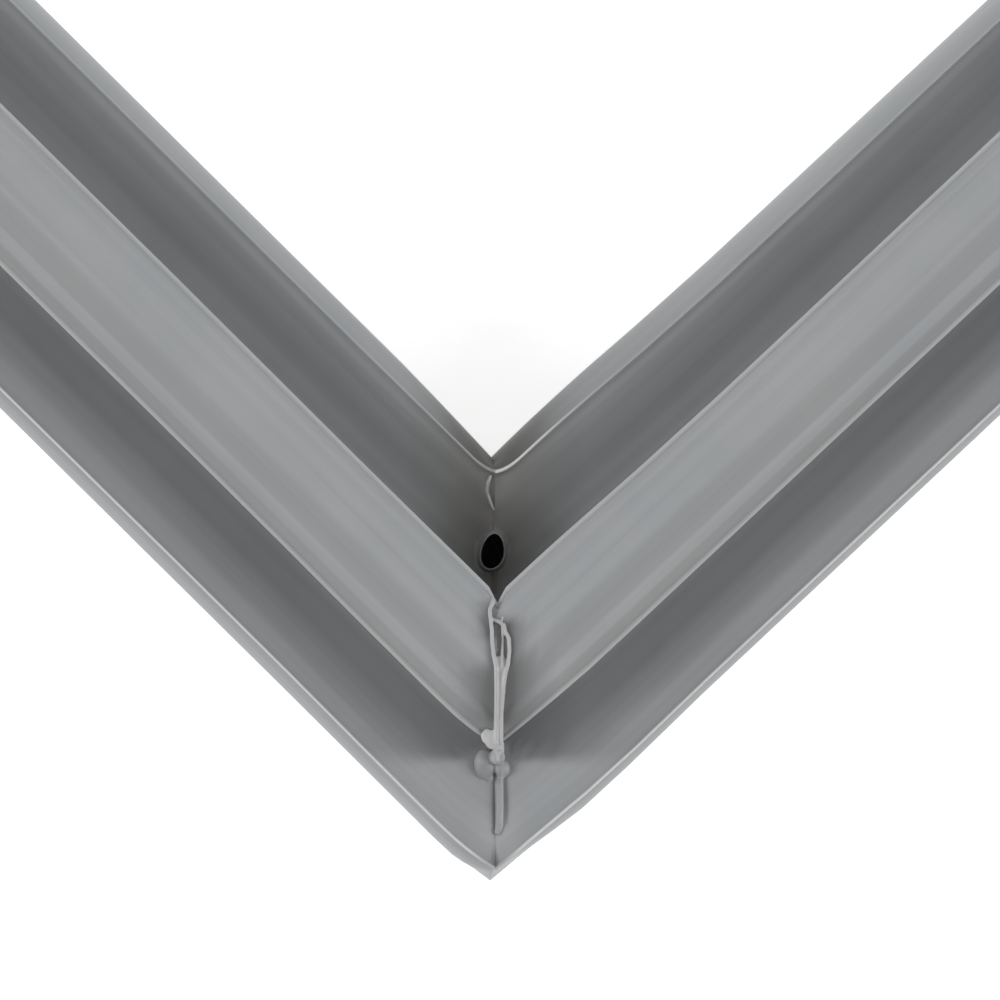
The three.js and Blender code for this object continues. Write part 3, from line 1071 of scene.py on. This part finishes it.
world = bpy.data.worlds.new("studio")
world.use_nodes = True
bpy.context.scene.world = world
nodes = world.node_tree.nodes
links = world.node_tree.links
nodes.clear()
seen = nodes.new("ShaderNodeBackground")
seen.inputs["Color"].default_value = (1, 1, 1, 1)
seen.inputs["Strength"].default_value = 1
lit = nodes.new("ShaderNodeBackground")
lit.inputs["Color"].default_value = (1, 0.985, 0.95, 1)
lit.inputs["Strength"].default_value = LIT_STRENGTH
mix = nodes.new("ShaderNodeMixShader")
output = nodes.new("ShaderNodeOutputWorld")
links.new(background_rays(nodes, links), mix.inputs["Fac"])
links.new(lit.outputs["Background"], mix.inputs[1])
links.new(seen.outputs["Background"], mix.inputs[2])
links.new(mix.outputs["Shader"], output.inputs["Surface"])
lamps = [item.name for item in bpy.data.objects if item.type == "LIGHT"]
print("lamps", len(lamps), "and a background of", LIT_STRENGTH)

# %% Lay the floor
FLOOR_HALF = 4
FLOOR_DROP = 0.0002
PAPER_WHITE = 0.86
PAPER_GLOW = 0.68

floor_bm = bmesh.new()
bmesh.ops.create_grid(floor_bm, x_segments=1, y_segments=1, size=FLOOR_HALF)
floor_mesh = bpy.data.meshes.new("floor")
floor_bm.to_mesh(floor_mesh)
floor_bm.free()
for vert in floor_mesh.vertices:
    vert.co.z = -FLOOR_DROP
floor = bpy.data.objects.new("floor", floor_mesh)
bpy.context.collection.objects.link(floor)
paper = bpy.data.materials.new("white_paper")
paper.use_nodes = True
nodes = paper.node_tree.nodes
links = paper.node_tree.links
nodes.clear()
matte = nodes.new("ShaderNodeBsdfDiffuse")
matte.inputs["Color"].default_value = (PAPER_WHITE, PAPER_WHITE, PAPER_WHITE, 1)
glow = nodes.new("ShaderNodeEmission")
glow.inputs["Strength"].default_value = PAPER_GLOW
both = nodes.new("ShaderNodeAddShader")
mix = nodes.new("ShaderNodeMixShader")
output = nodes.new("ShaderNodeOutputMaterial")
links.new(matte.outputs["BSDF"], both.inputs[0])
links.new(glow.outputs["Emission"], both.inputs[1])
links.new(background_rays(nodes, links), mix.inputs["Fac"])
links.new(matte.outputs["BSDF"], mix.inputs[1])
links.new(both.outputs["Shader"], mix.inputs[2])
links.new(mix.outputs["Shader"], output.inputs["Surface"])
floor.data.materials.append(paper)
print("floor", 2 * FLOOR_HALF, "m wide,", FLOOR_DROP * 1000, "mm under the sealing face")

# %% [markdown]
# ## Magnetic strips
# Four strips of bonded ferrite are slid into the pocket before the corners are welded, one to a
# side. Each is a long box with rounded edges, cut into short lengths so that it follows the side
# it lies in, where that side leans out of square near the welds.

# %% Make the magnetic strips
STRIP_EDGE = 0.35
STRIP_CUTS = 60


def shaped_anywhere(co):
    """shape_point for any of the four corners, by way of the one that was modelled."""
    sign_x = 1 if co.x > 0 else -1
    sign_y = 1 if co.y > 0 else -1
    moved = shape_point(Vector((-abs(co.x), -abs(co.y), co.z)))
    return Vector((-moved.x * sign_x, -moved.y * sign_y, moved.z))


def magnet_piece(node):
    """A strip that fills the box of its CAD node, with rounded edges, shaped like its side."""
    corners = [node.matrix_world @ Vector(corner) / MM for corner in node.bound_box]
    low = Vector([min(c[i] for c in corners) for i in range(3)])
    high = Vector([max(c[i] for c in corners) for i in range(3)])
    size = high - low
    axis = 0 if size.x > size.y else 1
    bm = bmesh.new()
    matrix = Matrix.Translation((low + high) / 2) @ Matrix.Diagonal((*size, 1))
    bmesh.ops.create_cube(bm, size=1, matrix=matrix)
    bmesh.ops.bevel(
        bm, geom=bm.edges[:], offset=STRIP_EDGE, segments=3, profile=0.5, affect="EDGES", material=-1
    )
    long_edges = [
        e for e in bm.edges if abs(e.verts[0].co[axis] - e.verts[1].co[axis]) > size[axis] / 2
    ]
    bmesh.ops.subdivide_edges(bm, edges=long_edges, cuts=STRIP_CUTS)
    for vert in bm.verts:
        vert.co = shaped_anywhere(vert.co)
    bmesh.ops.recalc_face_normals(bm, faces=bm.faces[:])
    return bm


magnets = []
for side_name in ("left", "right", "bottom", "top"):
    node_name = "magnet_strip_" + side_name
    magnet = finish_mesh("strip_" + side_name, magnet_piece(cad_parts[node_name]))
    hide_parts(node_name)
    magnets.append(magnet)
print("magnet faces", [len(magnet.data.polygons) for magnet in magnets])

# %% [markdown]
# ## Soft PVC
# The plastic is a plain cool grey with a satin skin. The die leaves faint lines along the
# profile, so a noise is stretched along the ring in the coordinates that were stored above. Four
# tints of painted light and shade are mixed over it, as far as the stored amounts say: a brown
# painted shade in the inner corner, a dark painted shade beside the bead, and a painted highlight
# on the flash and on the thin lips.

# %% Mix the soft PVC
LIGHT_GREY = (0.345, 0.35, 0.356, 1)
DARK_GREY = (0.305, 0.311, 0.318, 1)
# Painted highlight on the lips.
LIP_HIGHLIGHT = (0.66, 0.66, 0.65, 1)
# Painted highlight on the flash.
FLASH_HIGHLIGHT = (0.44, 0.43, 0.435, 1)
# Painted warm shade.
WARM_SHADE = (0.14, 0.134, 0.12, 1)
# Painted dark shade.
DARK_SHADE = (0.1, 0.1, 0.101, 1)
HAZE = (0.93, 0.945, 0.96, 1)
WHITE = (1, 1, 1, 1)
STREAK_STRETCH = 0.012
STREAK_SCALE = 1.1
CLOUD_SCALE = 90
GRAIN_SCALE = 3500
SATIN = (0.4, 0.56)
TINTS = [
    # Painted warm shade in the inner corner and on the dart's outer half.
    ("warm_painted_shade", WARM_SHADE, 0.8),
    # Painted dark shade beside the bead and under the barb.
    ("dull", DARK_SHADE, 0.85),
    # Painted highlight on the flash.
    ("melt", FLASH_HIGHLIGHT, 0.8),
    # Painted highlight on the lips.
    ("rim", LIP_HIGHLIGHT, 0.8),
]


def noise_of(nodes, links, vector, scale, detail):
    """A noise texture read at a vector."""
    texture = nodes.new("ShaderNodeTexNoise")
    texture.inputs["Scale"].default_value = scale
    texture.inputs["Detail"].default_value = detail
    links.new(vector, texture.inputs["Vector"])
    return texture.outputs["Fac"]


def tones_of(nodes, links, value, low, high):
    """A colour ramp between two (position, colour) pairs."""
    ramp_node = nodes.new("ShaderNodeValToRGB")
    for element, (position, colour) in zip(ramp_node.color_ramp.elements, (low, high)):
        element.position = position
        element.color = colour
    links.new(value, ramp_node.inputs["Fac"])
    return ramp_node.outputs["Color"]


def tinted(nodes, links, colour, attribute, tint, amount):
    """Mixes a tint over the colour, as far as a stored attribute of the mesh says."""
    stored = nodes.new("ShaderNodeAttribute")
    stored.attribute_name = attribute
    scale = nodes.new("ShaderNodeMath")
    scale.operation = "MULTIPLY"
    scale.inputs[1].default_value = amount
    links.new(stored.outputs["Fac"], scale.inputs[0])
    mix_node = nodes.new("ShaderNodeMixRGB")
    mix_node.inputs["Color2"].default_value = tint
    links.new(scale.outputs["Value"], mix_node.inputs["Fac"])
    links.new(colour, mix_node.inputs["Color1"])
    return mix_node.outputs["Color"]


def pvc_material():
    """Satin grey, with streaks from the die, faint clouds, a fine grain and the four tints of painted
    light and shade.
    """
    material = bpy.data.materials.new("soft_grey_pvc")
    material.use_nodes = True
    nodes = material.node_tree.nodes
    links = material.node_tree.links
    surface = nodes["Principled BSDF"]
    surface.inputs["Specular IOR Level"].default_value = 0.4
    coords = nodes.new("ShaderNodeUVMap")
    coords.uv_map = "profile"
    stretch = nodes.new("ShaderNodeMapping")
    stretch.inputs["Scale"].default_value = (1, STREAK_STRETCH, 1)
    links.new(coords.outputs["UV"], stretch.inputs["Vector"])
    place = nodes.new("ShaderNodeTexCoord")
    streaks = noise_of(nodes, links, stretch.outputs["Vector"], STREAK_SCALE, 5)
    colour = tones_of(nodes, links, streaks, (0.32, DARK_GREY), (0.68, LIGHT_GREY))
    clouds = noise_of(nodes, links, place.outputs["Object"], CLOUD_SCALE, 3)
    haze = tones_of(nodes, links, clouds, (0.3, HAZE), (0.7, WHITE))
    blend = nodes.new("ShaderNodeMixRGB")
    blend.blend_type = "MULTIPLY"
    blend.inputs["Fac"].default_value = 1
    links.new(colour, blend.inputs["Color1"])
    links.new(haze, blend.inputs["Color2"])
    colour = blend.outputs["Color"]
    for attribute, tint, amount in TINTS:
        colour = tinted(nodes, links, colour, attribute, tint, amount)
    links.new(colour, surface.inputs["Base Color"])
    gloss = nodes.new("ShaderNodeMapRange")
    gloss.inputs["To Min"].default_value = SATIN[0]
    gloss.inputs["To Max"].default_value = SATIN[1]
    links.new(clouds, gloss.inputs["Value"])
    links.new(gloss.outputs["Result"], surface.inputs["Roughness"])
    grain = noise_of(nodes, links, place.outputs["Object"], GRAIN_SCALE, 2)
    relief = nodes.new("ShaderNodeBump")
    relief.inputs["Strength"].default_value = 0.12
    relief.inputs["Distance"].default_value = 0.00003
    links.new(grain, relief.inputs["Height"])
    lines = nodes.new("ShaderNodeBump")
    lines.inputs["Strength"].default_value = 0.25
    lines.inputs["Distance"].default_value = 0.00004
    links.new(streaks, lines.inputs["Height"])
    links.new(relief.outputs["Normal"], lines.inputs["Normal"])
    links.new(lines.outputs["Normal"], surface.inputs["Normal"])
    return material


gasket.data.materials.append(pvc_material())
print("tints on the gasket", [attribute for attribute, _, _ in TINTS])

# %% Mix the bonded ferrite
def ferrite_material():
    """Almost black, dull, and finely speckled, as rubber filled with ferrite powder is."""
    material = bpy.data.materials.new("bonded_ferrite")
    material.use_nodes = True
    nodes = material.node_tree.nodes
    links = material.node_tree.links
    surface = nodes["Principled BSDF"]
    surface.inputs["Roughness"].default_value = 0.62
    place = nodes.new("ShaderNodeTexCoord")
    specks = noise_of(nodes, links, place.outputs["Object"], 2600, 3)
    dark = (0.4, (0.026, 0.023, 0.021, 1))
    colour = tones_of(nodes, links, specks, dark, (0.7, (0.05, 0.044, 0.039, 1)))
    links.new(colour, surface.inputs["Base Color"])
    relief = nodes.new("ShaderNodeBump")
    relief.inputs["Strength"].default_value = 0.3
    relief.inputs["Distance"].default_value = 0.00005
    links.new(specks, relief.inputs["Height"])
    links.new(relief.outputs["Normal"], surface.inputs["Normal"])
    return material


ferrite = ferrite_material()
for magnet in magnets:
    magnet.data.materials.append(ferrite)
print("strips with ferrite", len(magnets))

# %% Finish
bpy.context.scene.view_settings.view_transform = "Standard"
